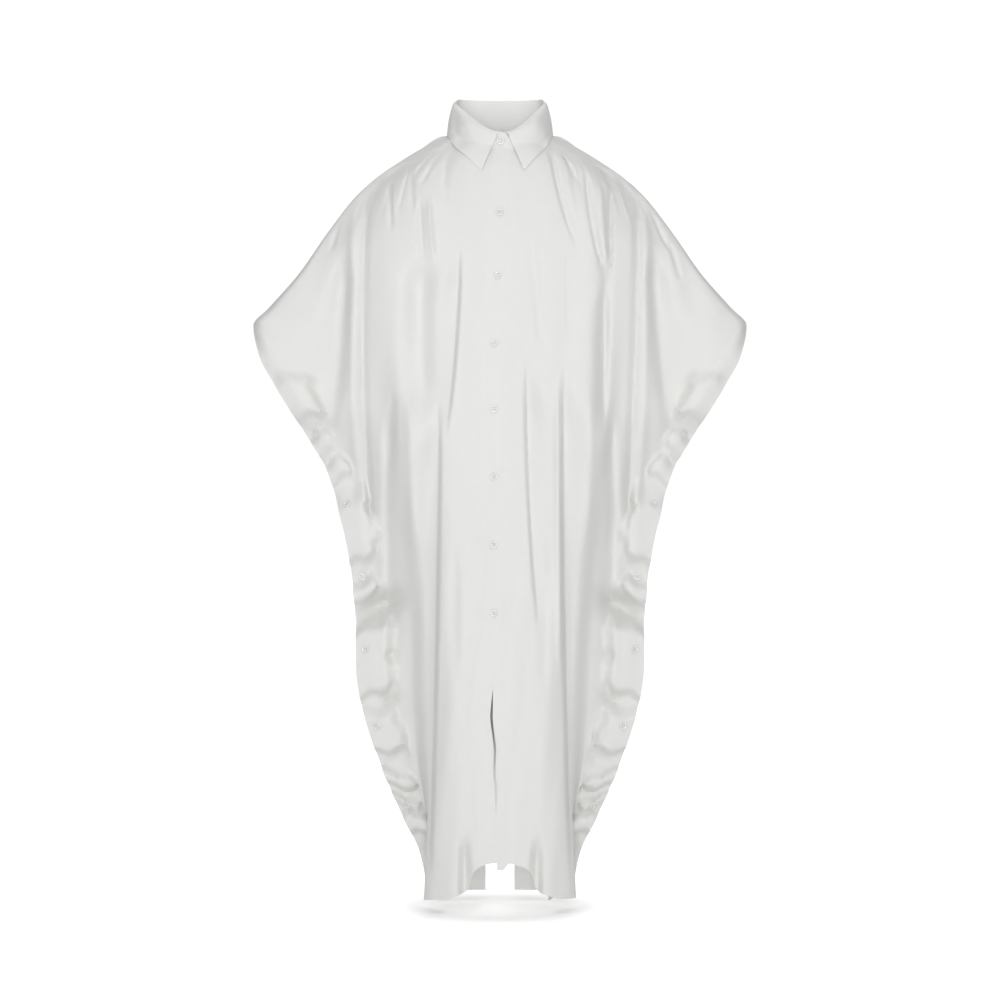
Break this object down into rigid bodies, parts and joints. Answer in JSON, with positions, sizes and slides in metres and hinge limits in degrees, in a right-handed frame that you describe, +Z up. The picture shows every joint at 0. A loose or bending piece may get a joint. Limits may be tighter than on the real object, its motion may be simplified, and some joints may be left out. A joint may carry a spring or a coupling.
{
  "type": "shirt dress",
  "caption": "Wide kaftan-cut shirt dress in white poplin, hollow as worn: pointed collar, buttoned front band, chest pocket, buttoned side bands and open arms.",
  "frame": {"origin": "the middle of the line between the two points where the neck seam meets the shoulder line", "axes": "+Z up the garment, -Y out of its front, +X towards the wearer's left"},
  "size_m": [0.74, 0.2813, 1.2137],
  "materials": {
    "dress_poplin": "white cotton poplin, matt",
    "band_poplin": "white cotton poplin, faced bands",
    "collar_poplin": "white cotton poplin, interlined",
    "pocket_poplin": "white cotton poplin, one layer",
    "buttons": "white pearly polyester"
  },
  "bodies": {
    "root": {"front_right": "dress_poplin", "front_left": "dress_poplin", "back_right": "dress_poplin", "back_left": "dress_poplin", "yoke": "dress_poplin", "buttonhole_placket": "band_poplin", "button_placket": "band_poplin", "side_band_front_right": "band_poplin", "side_band_front_left": "band_poplin", "side_band_back_right": "band_poplin", "side_band_back_left": "band_poplin", "collar_stand": "collar_poplin", "collar_leaf": "collar_poplin", "chest_pocket": "pocket_poplin", "collar_button": "buttons", "front_button_1": "buttons", "front_button_2": "buttons", "front_button_3": "buttons", "front_button_4": "buttons", "front_button_5": "buttons", "front_button_6": "buttons", "front_button_7": "buttons", "side_button_right_1": "buttons", "side_button_right_2": "buttons", "side_button_right_3": "buttons", "side_button_right_4": "buttons", "side_button_right_5": "buttons", "side_button_right_6": "buttons", "side_button_left_1": "buttons", "side_button_left_2": "buttons", "side_button_left_3": "buttons", "side_button_left_4": "buttons", "side_button_left_5": "buttons", "side_button_left_6": "buttons"}
  },
  "joints": []
}
